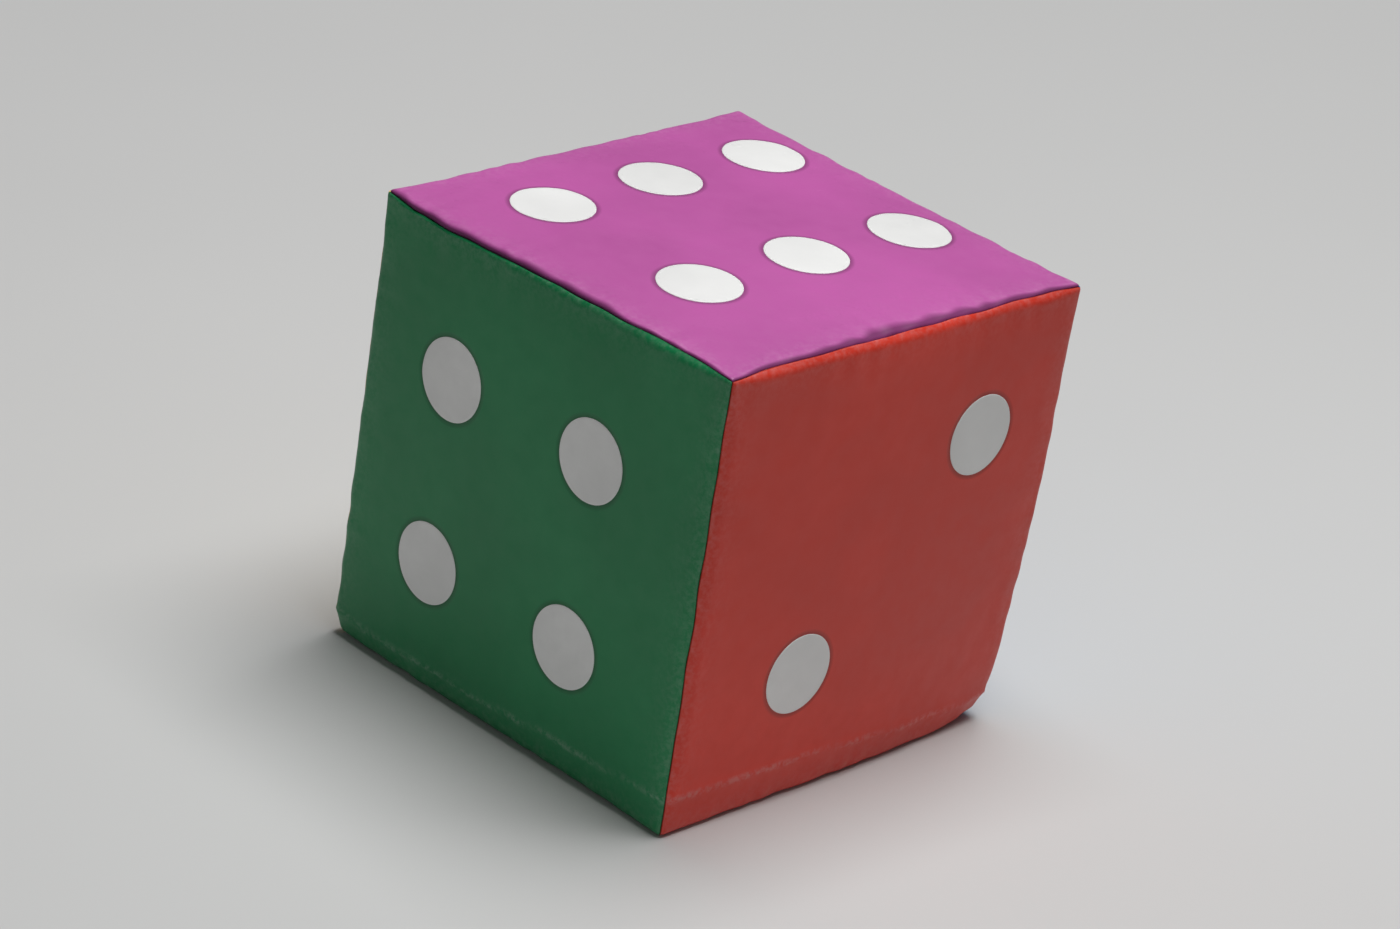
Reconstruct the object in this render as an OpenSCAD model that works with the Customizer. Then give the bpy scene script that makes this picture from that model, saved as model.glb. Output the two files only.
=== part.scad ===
// Giant soft dice: a foam cube in a sewn vinyl cover, one colour to a face, with a zip in one upright edge.
// Millimetres. The origin is at the centre of the face that the dice rests on, and +Z is up.
// Six pips are on top, four face the front (-Y) and two face the right (+X); opposite faces add up to seven.

/* [Dice] */
// Edge of the cube, over its faces
dice_edge = 200; // [195:1:215]
// Radius that the edges are rolled to
edge_radius = 6; // [4.5:0.5:7]

/* [Cover] */
// Thickness of the coated fabric
vinyl = 0.7; // [0.6:0.05:0.8]
// Seam allowance turned inside, measured from the sharp edge of the cube
seam_allowance = 10.5; // [9:0.5:12]
// Diameter of the seam thread
thread_d = 0.5; // [0.4:0.05:0.6]

/* [Pips] */
// Diameter of a pip
pip_d = 35; // [30:1:38]
// Thickness of a pip, which is welded flush into its panel
pip_thick = 0.35; // [0.3:0.05:0.4]
// Spacing of the three pips in each row of the six
six_row_pitch = 60; // [50:1:62]
// Spacing between the two rows of the six
six_column_pitch = 85; // [70:1:90]
// Spacing of the pips at the corners of the four and the five
corner_pitch = 82; // [70:1:90]
// Spacing of the end pips of the two and the three, along each side
diagonal_pitch = 86; // [70:1:90]

/* [Zip] */
// Width taken off each side face by the flat that the zip lies in
zip_flat = 10.5; // [10:0.25:12]
// Distance from each end of the edge to the zip opening
zip_end_margin = 14; // [14:1:18]
// Width of the opening between the two hems
zip_gap = 8.6; // [8.4:0.1:9]
// Spacing of the coil elements in one row
coil_pitch = 1.3; // [1.3:0.05:1.6]
// Length from the pull tab's pivot to its tip
pull_reach = 12; // [10:0.5:12]

/* [Hidden] */

$fn = 48;
half = dice_edge / 2;
reach_out = 2 * dice_edge;
clearance = 0.1;
seam_gap = 0.1;

// How a face's own frame, with z outward and y up, is turned onto the cube
TURN_ONE = [180, 0, 0];
TURN_TWO = [90, 0, 90];
TURN_THREE = [90, 0, 180];
TURN_FOUR = [90, 0, 0];
TURN_FIVE = [90, 0, 270];
TURN_SIX = [0, 0, 0];

// Pip centres in a face's own frame; the seen faces are cut a little off centre
SIX_OFFSET = [-12.5, 10];
FOUR_OFFSET = [-6, -3];
TWO_OFFSET = [7, 1.5];
PIPS_ONE = [[0, 0]];
PIPS_TWO = diagonal_pips(TWO_OFFSET);
PIPS_THREE = concat(diagonal_pips([0, 0]), [[0, 0]]);
PIPS_FOUR = corner_pips(FOUR_OFFSET);
PIPS_FIVE = concat(corner_pips([0, 0]), [[0, 0]]);
PIPS_SIX = [
  for (column = [-1, 1], row = [-1, 0, 1])
    SIX_OFFSET + [column * six_column_pitch / 2, row * six_row_pitch]
];

// Colours
PURPLE = [0.62, 0.20, 0.50];
GREEN = [0.16, 0.55, 0.35];
ORANGE = [0.90, 0.33, 0.24];
BLUE = [0.05, 0.45, 0.75];
YELLOW = [0.92, 0.78, 0.30];
PINK = [0.93, 0.36, 0.55];
WHITE = [0.93, 0.93, 0.92];
FOAM = [0.95, 0.92, 0.80];
BLACK = [0.10, 0.10, 0.11];
NICKEL = [0.75, 0.75, 0.73];
THREAD = [0.16, 0.16, 0.17];

// Seam thread: how far under the rolled edge it runs, and how far it stops from the cube's corners
roll_drop = edge_radius * (sqrt(2) - 1);
thread_depth = roll_drop + vinyl + 1.2;
thread_side = seam_gap / 2 + vinyl + thread_d / 2 + 0.05;
thread_end = 10;
foam_slot = 2 * (thread_side + thread_d / 2 + 0.2);

// Zip: the flat's half width, the ends of the opening and the levels under and over the flat's surface
flat_half = zip_flat / sqrt(2);
zip_low = zip_end_margin;
zip_high = dice_edge - zip_end_margin;
hem_reach = 7;
tape_thick = 0.55;
tape_edge = 1.1;
tape_reach = 9;
tape_top = -(2 * vinyl + clearance);
tape_bottom = tape_top - tape_thick;
tape_end = 0.6;

// Coil: one element's width, height and thickness, and how far the rows part round the slider's wedge
coil_width = 2.4;
coil_height = 1.8;
coil_thick = 0.6;
coil_overlap = 0.3;
coil_corner = 0.6;
coil_top = tape_top + coil_height;
coil_split = 1.25;
coil_split_start = -1.4;
coil_split_length = 3;

// Slider: plates over and under the coil, with the pull's pivot through an eye on the upper plate
slider_half_length = 4.3;
slider_half_width = 4;
slider_tail_half_width = 2.9;
slider_nose_half_width = 3.2;
slider_shoulder = [-0.3, 3.3];
slider_plate = 0.8;
tail_channel_half_width = 2.2;
mouth_channel_half_width = 3.4;
channel_flare = [-1.9, 1];
wedge_tip = 0.4;
wedge_half_width = 0.9;
wedge_flank = [2.2, 3.4];
slider_roof = coil_top + 0.15;
slider_floor = tape_bottom - clearance;
slider_wall_foot = tape_top + clearance;
pivot_rise = 0.9;
pivot_height = slider_roof + slider_plate + pivot_rise;
pivot_r = 0.55;
pivot_bore_r = pivot_r + 0.07;
eye_r = pivot_bore_r + 0.7;
eye_width = 1.6;

// Pull tab
pull_thick = 1.1;
pull_width = 5.2;
pull_arm = 1.5;
pull_window = eye_r + 0.25;
pull_hole_d = 2;

// Stops: the top pair is crimped on at the end of each row, and the bottom one holds both rows
stop_length = 2.2;
stop_from_end = 3.2;
stop_wall = 0.35;
top_stop_inner = 0.6;
top_stop_outer = 3.2;
bottom_stop_outer = 2.5;
top_stop_low = zip_high - stop_from_end - stop_length;
bottom_stop_low = zip_low + stop_from_end + 3.3;
slider_rest = top_stop_low - 0.3 - slider_half_length;
coil_low = bottom_stop_low + stop_length + 0.2 + coil_thick / 2;
coil_high = top_stop_low - 0.2 - coil_thick / 2;

// Topstitch along the hems, and bar tacks across both ends of the opening
stitch_pitch = 3.6;
stitch_length = 3;
stitch_from_fold = 1.4;
stitch_height = thread_d / 2 + 0.02;
run_from_end = 3.4;
bobbin_height = tape_bottom - thread_d / 2 - 0.02;
tack_count = 4;
tack_pitch = 0.6;
tack_first = 0.6;
tack_half_width = zip_gap / 2 + 1.6;

function diagonal_pips(offset) = [
  for (end = [-1, 1]) offset + diagonal_pitch / 2 * [end, end]
];
function corner_pips(offset) = [
  for (column = [-1, 1], row = [-1, 1]) offset + corner_pitch / 2 * [column, row]
];

// Point where a layer at one depth turns from the zip flat onto the side face
function flat_corner(depth) = [flat_half - depth * tan(22.5), -depth];
// Point a distance along the side face from there
function along_face(depth, distance) = flat_corner(depth) + distance / sqrt(2) * [1, -1];
// How far a coil element is pushed aside, for its height above the slider's middle
function coil_shift(rise) =
  coil_split * max(0, min(1, (rise - coil_split_start) / coil_split_length));

// ---------- frames ----------

module on_face(turn) {
  translate([0, 0, half]) rotate(turn) children();
}

// x runs across the zip towards the blue face, y points out of the zip and z is up
module zip_frame() {
  translate([-half + zip_flat / 2, half - zip_flat / 2, 0]) rotate([0, 0, 45]) children();
}

// Draws a flat outline in the zip's x and z, and thickens it between two heights over the flat
module zip_layer(low, high) {
  translate([0, high, 0]) rotate([90, 0, 0]) linear_extrude(high - low) children();
}

// ---------- cover ----------

module rounded_rect(width, depth, radius) {
  square([width - 2 * radius, depth], center = true);
  square([width, depth - 2 * radius], center = true);
  for (x = [-1, 1], y = [-1, 1])
    translate([x * (width / 2 - radius), y * (depth / 2 - radius)]) circle(radius);
}

module rolled_bar(edge, radius) {
  linear_extrude(edge, center = true) rounded_rect(edge, edge, radius);
}

// Cube with all its edges rolled, centred on the origin
module rolled_cube(edge, radius) {
  intersection() {
    rolled_bar(edge, radius);
    rotate([90, 0, 0]) rolled_bar(edge, radius);
    rotate([0, 90, 0]) rolled_bar(edge, radius);
  }
}

// The cover's outline at a depth under its surface, with the flat for the zip
module cover_block(depth) {
  difference() {
    translate([0, 0, half]) rolled_cube(dice_edge - 2 * depth, edge_radius - depth);
    zip_frame() translate([-zip_flat * 2, -depth, zip_low - depth])
      cube([zip_flat * 4, zip_flat * 2, zip_high - zip_low + 2 * depth]);
  }
}

module wedge_profile(setback) {
  rise = setback * sqrt(2);
  polygon([[0, rise], [dice_edge, dice_edge + rise], [-dice_edge, dice_edge + rise]]);
}

// The space that belongs to one face, set back from the four slanting planes where it meets its neighbours
module face_sector(setback) {
  intersection() {
    rotate([90, 0, 0]) linear_extrude(reach_out, center = true) wedge_profile(setback);
    rotate([90, 0, 90]) linear_extrude(reach_out, center = true) wedge_profile(setback);
  }
}

module allowance_layer() {
  depth = seam_allowance / sqrt(2);
  translate([-half, -half, half - depth]) cube([dice_edge, dice_edge, depth]);
}

module pip_pockets(turn, pips) {
  on_face(turn) for (centre = pips)
    translate([centre.x, centre.y, half - pip_thick - 0.01]) cylinder(d = pip_d + 0.04, h = 1);
}

// A panel with its four seam allowances turned in, and pockets that its pips are welded into
module panel(turn, pips) {
  difference() {
    intersection() {
      cover_block(0);
      on_face(turn) face_sector(seam_gap / 2);
      on_face(turn) allowance_layer();
    }
    intersection() {
      cover_block(vinyl);
      on_face(turn) face_sector(seam_gap / 2 + vinyl);
    }
    pip_pockets(turn, pips);
  }
}

// A panel beside the zip: its edge is folded back under itself instead of sewn to its neighbour
module zip_panel(turn, pips, side) {
  fold = zip_gap / 2;
  difference() {
    panel(turn, pips);
    zip_frame() translate([-fold, -seam_allowance, zip_low])
      cube([zip_gap, 2 * seam_allowance, zip_high - zip_low]);
  }
  zip_frame() translate([0, 0, zip_low]) linear_extrude(zip_high - zip_low)
    mirror([side < 0 ? 1 : 0, 0]) layer_profile(fold, vinyl - 0.05, 2 * vinyl, hem_reach);
}

// Section of a layer that starts under the flat at inner_edge and runs on under the side face
module layer_profile(inner_edge, top, bottom, distance) {
  polygon([
    [inner_edge, -top],
    flat_corner(top),
    along_face(top, distance),
    along_face(bottom, distance),
    flat_corner(bottom),
    [inner_edge, -bottom]
  ]);
}

module panel_one() {
  color(PINK) panel(TURN_ONE, PIPS_ONE);
}

module panel_two() {
  color(ORANGE) panel(TURN_TWO, PIPS_TWO);
}

module panel_three() {
  color(BLUE) zip_panel(TURN_THREE, PIPS_THREE, 1);
}

module panel_four() {
  color(GREEN) panel(TURN_FOUR, PIPS_FOUR);
}

module panel_five() {
  color(YELLOW) zip_panel(TURN_FIVE, PIPS_FIVE, -1);
}

module panel_six() {
  color(PURPLE) panel(TURN_SIX, PIPS_SIX);
}

module pips(turn, places) {
  color(WHITE) on_face(turn) for (centre = places)
    translate([centre.x, centre.y, half - pip_thick]) cylinder(d = pip_d, h = pip_thick);
}

// ---------- inside ----------

// Foam block, slit along its edges for the seam allowances and cut back behind the zip
module foam_core() {
  foam_depth = vinyl + clearance;
  slot_length = seam_allowance + 2 * vinyl;
  recess = -slider_floor + slider_plate + 0.4;
  hem_depth = -bobbin_height + thread_d / 2 + 0.2;
  color(FOAM) difference() {
    translate([0, 0, half]) rolled_cube(dice_edge - 2 * foam_depth, edge_radius - foam_depth);
    translate([0, 0, half]) edge_slots(slot_length);
    zip_frame() translate([0, 0, zip_low - 1]) linear_extrude(zip_high - zip_low + 2) union() {
      zip_recess_half(recess, hem_depth);
      mirror([1, 0]) zip_recess_half(recess, hem_depth);
    }
  }
}

module edge_slots(slot_length) {
  for (turn = [[0, 0, 0], [90, 0, 0], [0, 90, 0]], quarter = [0:3])
    rotate(turn) rotate([0, 0, 45 + 90 * quarter])
      translate([half * sqrt(2) - slot_length, -foam_slot / 2, -half])
        cube([slot_length, foam_slot, dice_edge]);
}

module zip_recess_half(recess, hem_depth) {
  polygon([
    [-0.01, -recess],
    [flat_corner(recess).x, -recess],
    flat_corner(hem_depth),
    along_face(hem_depth, tape_reach + 2),
    along_face(-1, tape_reach + 2),
    [flat_half, 10],
    [-0.01, 10]
  ]);
}

// Needle and bobbin threads on the allowances of the eleven plain seams
module seam_thread() {
  from_axis = half * sqrt(2) - thread_depth;
  length = dice_edge - 2 * thread_end;
  color(THREAD) translate([0, 0, half])
    for (seam = [
      for (turn = [[0, 0, 0], [90, 0, 0], [0, 90, 0]], quarter = [0:3])
        if (!(turn == [0, 0, 0] && quarter == 1)) [turn, quarter]
    ])
      rotate(seam[0]) rotate([0, 0, 45 + 90 * seam[1]])
        for (side = [-1, 1])
          translate([from_axis, side * thread_side, 0])
            cylinder(d = thread_d, h = length, center = true);
}

// ---------- zip ----------

module zip_tape(side) {
  color(BLACK) zip_frame() translate([0, 0, zip_low + tape_end])
    linear_extrude(zip_high - zip_low - 2 * tape_end)
      mirror([side < 0 ? 1 : 0, 0])
        layer_profile(tape_edge, -tape_top, -tape_bottom, tape_reach);
}

// One row of coil elements, parted where the slider's wedge stands between the rows
module zip_coil(side) {
  start = coil_low + (side > 0 ? 0 : coil_pitch / 2);
  middle = coil_width / 2 - coil_overlap;
  color(BLACK) zip_frame() for (z = [start : coil_pitch : coil_high])
    translate([side * (middle + coil_shift(z - slider_rest)), tape_top + coil_height / 2, z])
      linear_extrude(coil_thick, center = true)
        rounded_rect(coil_width, coil_height, coil_corner);
}

// Closes an outline whose right side is given, by mirroring it in x
function both_sides(right_side) = concat(right_side, [
  for (i = [len(right_side) - 1 : -1 : 0])
    if (right_side[i].x > 0) [-right_side[i].x, right_side[i].y]
]);

module slider_outline() {
  right_side = [
    [slider_tail_half_width, -slider_half_length],
    [slider_half_width, slider_shoulder[0]],
    [slider_half_width, slider_shoulder[1]],
    [slider_nose_half_width, slider_half_length]
  ];
  polygon(both_sides(right_side));
}

// The way through the slider: narrow below, where the rows are meshed, and wide at the mouth
module slider_channel() {
  past_end = slider_half_length + 0.2;
  right_side = [
    [tail_channel_half_width, -past_end],
    [tail_channel_half_width, channel_flare[0]],
    [mouth_channel_half_width, channel_flare[1]],
    [mouth_channel_half_width, past_end]
  ];
  polygon(both_sides(right_side));
}

// Wedge that parts the rows and joins the two plates
module slider_wedge() {
  right_side = [
    [0, wedge_tip],
    [wedge_half_width, wedge_flank[0]],
    [wedge_half_width, wedge_flank[1]],
    [0, slider_half_length]
  ];
  polygon(both_sides(right_side));
}

module zip_slider() {
  roof_top = slider_roof + slider_plate;
  color(NICKEL) zip_frame() translate([0, 0, slider_rest]) {
    zip_layer(slider_roof, roof_top) slider_outline();
    zip_layer(slider_floor - slider_plate, slider_floor) slider_outline();
    zip_layer(slider_wall_foot, slider_roof + 0.05) difference() {
      slider_outline();
      slider_channel();
    }
    zip_layer(slider_floor - 0.05, slider_roof + 0.05) slider_wedge();
    difference() {
      union() {
        translate([0, pivot_height, 0]) rotate([0, 90, 0])
          cylinder(r = eye_r, h = eye_width, center = true);
        translate([-eye_width / 2, roof_top - 0.05, -eye_r])
          cube([eye_width, pivot_rise + 0.05, 2 * eye_r]);
      }
      translate([0, pivot_height, 0]) rotate([0, 90, 0])
        cylinder(r = pivot_bore_r, h = eye_width + 1, center = true);
    }
  }
}

// Tab that hangs from a round bar through the slider's eye
module zip_pull() {
  tip_r = pull_width / 2;
  color(NICKEL) zip_frame() translate([0, pivot_height, slider_rest]) {
    rotate([0, 90, 0]) cylinder(r = pivot_r, h = pull_width - 0.4, center = true);
    for (side = [-1, 1])
      translate([side * (pull_width - pull_arm) / 2 - pull_arm / 2, -pull_thick / 2, -pull_window])
        cube([pull_arm, pull_thick, pull_window]);
    zip_layer(-pull_thick / 2, pull_thick / 2) difference() {
      union() {
        translate([-tip_r, -(pull_reach - tip_r)])
          square([pull_width, pull_reach - tip_r - pull_window]);
        translate([0, -(pull_reach - tip_r)]) circle(tip_r);
      }
      translate([0, -(pull_reach - tip_r)]) circle(d = pull_hole_d);
    }
  }
}

// Crimped metal box round the tape edge, open where the tape passes out of it
module stop_profile(inner, outer) {
  low = tape_bottom - clearance - stop_wall;
  high = coil_top;
  difference() {
    translate([inner, low]) square([outer - inner, high - low]);
    translate([tape_edge - clearance, tape_bottom - clearance])
      square([outer, tape_thick + 2 * clearance]);
  }
}

module zip_top_stops() {
  color(NICKEL) zip_frame() translate([0, 0, top_stop_low]) linear_extrude(stop_length)
    for (side = [0, 1]) mirror([side, 0]) stop_profile(top_stop_inner, top_stop_outer);
}

module zip_bottom_stop() {
  color(NICKEL) zip_frame() translate([0, 0, bottom_stop_low]) linear_extrude(stop_length)
    for (side = [0, 1]) mirror([side, 0]) stop_profile(-0.01, bottom_stop_outer);
}

// Two rows of stitches on the hems, each with its bobbin thread under the tape
module zip_topstitch() {
  across = zip_gap / 2 + stitch_from_fold;
  run_low = zip_low + run_from_end;
  run_high = zip_high - run_from_end;
  color(THREAD) zip_frame() for (side = [-1, 1]) {
    for (z = [run_low : stitch_pitch : run_high - stitch_length])
      translate([side * across, stitch_height, z]) cylinder(d = thread_d, h = stitch_length);
    translate([side * across, bobbin_height, run_low])
      cylinder(d = thread_d, h = run_high - run_low);
  }
}

module zip_bar_tacks() {
  color(THREAD) zip_frame() for (place = [0 : tack_count - 1], end = [-1, 1])
    translate([0, stitch_height, end < 0 ? zip_low + tack_first + place * tack_pitch
                                        : zip_high - tack_first - place * tack_pitch])
      rotate([0, 90, 0]) cylinder(d = thread_d, h = 2 * tack_half_width, center = true);
}

foam_core();
panel_one();
panel_two();
panel_three();
panel_four();
panel_five();
panel_six();
pips(TURN_ONE, PIPS_ONE);  // pips_one
pips(TURN_TWO, PIPS_TWO);  // pips_two
pips(TURN_THREE, PIPS_THREE);  // pips_three
pips(TURN_FOUR, PIPS_FOUR);  // pips_four
pips(TURN_FIVE, PIPS_FIVE);  // pips_five
pips(TURN_SIX, PIPS_SIX);  // pips_six
seam_thread();
zip_tape(-1);  // zip_tape_left
zip_tape(1);  // zip_tape_right
zip_coil(-1);  // zip_coil_left
zip_coil(1);  // zip_coil_right
zip_slider();
zip_pull();
zip_top_stops();
zip_bottom_stop();
zip_topstitch();
zip_bar_tacks();
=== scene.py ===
"""A giant soft dice: six sewn vinyl panels with white pips over a foam block, and a zip in one upright edge.

The cover is one skin, worked out by the functions under "skin": a cube with rolled edges and seam grooves,
moved by a cloth simulation that gathers its seams. Panels, pips, threads and foam all take their places from
that skin. Lengths are in metres. A face's own frame has x to the right, y up and the normal outwards.
"""

import math

import bmesh
import bpy
import numpy as np
from mathutils import Matrix, Vector


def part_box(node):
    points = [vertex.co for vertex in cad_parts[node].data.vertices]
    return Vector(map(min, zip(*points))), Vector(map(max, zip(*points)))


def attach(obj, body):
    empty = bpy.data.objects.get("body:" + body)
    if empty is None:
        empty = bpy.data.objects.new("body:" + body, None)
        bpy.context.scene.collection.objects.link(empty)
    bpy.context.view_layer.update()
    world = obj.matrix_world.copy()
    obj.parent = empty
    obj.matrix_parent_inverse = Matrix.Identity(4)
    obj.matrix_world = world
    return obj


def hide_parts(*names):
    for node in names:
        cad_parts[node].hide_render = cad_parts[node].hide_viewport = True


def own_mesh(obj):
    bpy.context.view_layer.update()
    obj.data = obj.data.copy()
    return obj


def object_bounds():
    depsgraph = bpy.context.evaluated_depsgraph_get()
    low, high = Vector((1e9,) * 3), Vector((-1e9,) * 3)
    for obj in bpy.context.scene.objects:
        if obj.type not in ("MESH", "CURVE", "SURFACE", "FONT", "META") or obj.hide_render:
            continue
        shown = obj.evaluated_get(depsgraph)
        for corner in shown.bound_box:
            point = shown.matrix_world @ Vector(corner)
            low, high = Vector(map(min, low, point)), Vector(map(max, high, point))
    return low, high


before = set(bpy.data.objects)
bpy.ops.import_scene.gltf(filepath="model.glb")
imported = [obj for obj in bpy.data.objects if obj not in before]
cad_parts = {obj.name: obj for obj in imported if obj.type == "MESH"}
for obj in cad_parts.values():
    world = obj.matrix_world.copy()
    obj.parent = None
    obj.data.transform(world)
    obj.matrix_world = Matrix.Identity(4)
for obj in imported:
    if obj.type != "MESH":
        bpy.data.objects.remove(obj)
cad_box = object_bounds()

MM = 0.001
HALF = (cad_box[1][0] - cad_box[0][0]) / 2
RNG = np.random.default_rng(63)

# Right, up and outward directions of each face
FACES = {
    "one": ((1, 0, 0), (0, -1, 0), (0, 0, -1)),
    "two": ((0, 1, 0), (0, 0, 1), (1, 0, 0)),
    "three": ((-1, 0, 0), (0, 0, 1), (0, 1, 0)),
    "four": ((1, 0, 0), (0, 0, 1), (0, -1, 0)),
    "five": ((0, -1, 0), (0, 0, 1), (-1, 0, 0)),
    "six": ((1, 0, 0), (0, 1, 0), (0, 0, 1)),
}
FACES = {face: tuple(np.array(axis, float) for axis in axes) for face, axes in FACES.items()}
FACE_OF_NORMAL = {tuple(axes[2].astype(int)): face for face, axes in FACES.items()}

# Cover: fabric thickness, radii of its rolled edges, depth of a seam's groove and crown of its faces
VINYL = 0.7 * MM
EDGE_RADIUS = 4.4 * MM
CORNER_RADIUS = 2.6 * MM
BOTTOM_RADIUS = 3.8 * MM
SEAM_GROOVE = 0.9 * MM
CROWN = 2.2 * MM
PIP_RADIUS = 17.5 * MM

# Zip: its flat on the edge, the fold, lip and bend of each hem, and the sizes of tape, coil and thread
ZIP_FLAT = 10.5 * MM
FLAT_HALF = ZIP_FLAT / math.sqrt(2)
HEM_EDGE = 4.3 * MM
HEM_LIP = 0.7 * MM
HEM_BEND = 3 * MM
TAPE_TOP = -1.5 * MM
TAPE_THICK = 0.5 * MM
COIL_WIDTH = 2.4 * MM
COIL_HEIGHT = 1.8 * MM
COIL_WIRE = 0.3 * MM
COIL_PITCH = 1.3 * MM
COIL_OVERLAP = 0.3 * MM
THREAD = 0.25 * MM
TAPE_LOW, TAPE_HIGH = (corner.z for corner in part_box("zip_tape_left"))
ZIP_LOW = TAPE_LOW - 0.6 * MM - HALF
ZIP_HIGH = TAPE_HIGH + 0.6 * MM - HALF
SLIDER_Z = sum(corner.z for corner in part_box("zip_slider")) / 2 - HALF
SLIDER_TRAVEL = 148 * MM
ZIP_ACROSS = np.array((1, 1, 0)) / math.sqrt(2)
ZIP_OUT = np.array((-1, 1, 0)) / math.sqrt(2)
ZIP_CENTRE = np.array((-HALF + ZIP_FLAT / 2, HALF - ZIP_FLAT / 2, 0))
UP = np.array((0, 0, 1.0))


# ---------- small helpers ----------

def smooth(t):
    """Eased step from 0 to 1."""
    t = np.clip(t, 0, 1)
    return t * t * (3 - 2 * t)


def bump(distance, width):
    """A soft bump of height 1 at distance 0."""
    return np.exp(-((distance / width) ** 2))


def wave(seed, along, shortest, longest, count=7):
    """Smooth random wave, about -1 to 1, from wavelengths between shortest and longest."""
    rng = np.random.default_rng(seed)
    total = np.zeros_like(along)
    for _ in range(count):
        length = rng.uniform(shortest, longest)
        total = total + np.sin(2 * np.pi * (along / length + rng.uniform()))
    return total / math.sqrt(count)


def unit(vectors):
    """The vectors at length 1."""
    return vectors / np.linalg.norm(vectors, axis=-1, keepdims=True)


def mesh_object(name, verts, faces, shaded=True):
    mesh = bpy.data.meshes.new(name)
    mesh.from_pydata([tuple(v) for v in verts], [], [tuple(int(i) for i in f) for f in faces])
    mesh.validate()
    mesh.update()
    mesh.polygons.foreach_set("use_smooth", [shaded] * len(mesh.polygons))
    obj = bpy.data.objects.new(name, mesh)
    bpy.context.scene.collection.objects.link(obj)
    return obj


def piece(obj, material, node, slot, body="cover"):
    """Gives a piece its material and its body, and hides the CAD node it stands for. The slot is not used."""
    obj.data.materials.clear()
    obj.data.materials.append(material)
    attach(obj, body)
    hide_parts(node)
    return obj


def joined(parts):
    """Several (verts, faces) meshes as one."""
    verts, faces, start = [], [], 0
    for part_verts, part_faces in parts:
        verts.append(np.asarray(part_verts))
        faces += [tuple(i + start for i in face) for face in part_faces]
        start += len(part_verts)
    return np.concatenate(verts), faces


def grid_quads(rows, columns):
    """Quads of a grid of points that are numbered row by row."""
    return [(i * columns + j, (i + 1) * columns + j, (i + 1) * columns + j + 1, i * columns + j + 1)
            for i in range(rows - 1) for j in range(columns - 1)]


def cube_quads(cells, at):
    """Quads on the six faces of a cube. at(face, i, j) is the number of a grid point."""
    return [(at(face, i, j), at(face, i + 1, j), at(face, i + 1, j + 1), at(face, i, j + 1))
            for face in FACES for i in range(cells) for j in range(cells)]


def thicken(obj, thickness):
    """Makes a sheet this thick, on its inner side."""
    sheet = obj.modifiers.new("thickness", "SOLIDIFY")
    sheet.thickness = thickness
    sheet.offset = -1


def bar(path, radius, reference, sides=8):
    """Round bar along a path, closed at both ends. The reference direction is never along the path."""
    path = np.asarray(path, float)
    radius = np.broadcast_to(radius, len(path))
    tangent = unit(np.gradient(path, axis=0))
    side = unit(np.cross(tangent, reference))
    lift = np.cross(side, tangent)
    angle = np.arange(sides) * 2 * math.pi / sides
    ring = np.cos(angle)[:, None, None] * side + np.sin(angle)[:, None, None] * lift
    verts = (path + ring * radius[:, None]).transpose(1, 0, 2).reshape(-1, 3)
    faces = []
    for k in range(len(path) - 1):
        for s in range(sides):
            t = (s + 1) % sides
            faces.append((k * sides + s, (k + 1) * sides + s, (k + 1) * sides + t, k * sides + t))
    first, last = len(verts), len(verts) + 1
    verts = np.concatenate([verts, path[:1], path[-1:]])
    base = (len(path) - 1) * sides
    for s in range(sides):
        t = (s + 1) % sides
        faces.append((s, t, first))
        faces.append((base + t, base + s, last))
    return verts, faces


# ---------- cloth simulation of the cover ----------

# Cells along an edge, the distances from a seam between which the cloth goes from free to held by the foam,
# frames simulated, the share of the movement used, its cap, the first roughness, and what counts as touching
CELLS = 64
FREE_BAND = 8 * MM
HELD_BAND = 38 * MM
SIM_FRAMES = 20
SIM_SHARE = 0.6
SIM_CAP = 4 * MM
START_ROUGHNESS = 0.15 * MM
TOUCHING = 1e-6


def lattice_key(face, i, j):
    """Whole-number place of a face's lattice point, with the cube from -CELLS to CELLS."""
    right, up, out = FACES[face]
    point = right * (2 * i - CELLS) + up * (2 * j - CELLS) + out * CELLS
    return tuple(int(c) for c in point)


def cube_lattice():
    """Lattice on the cube's surface: vertex number for each lattice key, and the quads."""
    index = {}

    def at(face, i, j):
        return index.setdefault(lattice_key(face, i, j), len(index))

    quads = cube_quads(CELLS, at)
    return index, quads


def lattice_points(index):
    """Lattice points on the sharp cube, in the order of their vertex numbers."""
    return np.array(list(index), float) / CELLS * HALF


def on_faces(points):
    """For each axis, whether a point lies on one of the sharp cube's two faces across it."""
    return np.abs(np.abs(points) - HALF) < TOUCHING


def crowned(points):
    """How far the foam pushes each point of the sharp cube out, as a vector."""
    on_face = on_faces(points)
    fall = np.where(on_face, 1, 1 - (points / HALF) ** 2)
    height = CROWN * np.prod(fall, axis=1) ** 0.8
    single = on_face.sum(axis=1) == 1
    return np.where(on_face, np.sign(points), 0) * (height * single)[:, None]


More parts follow.
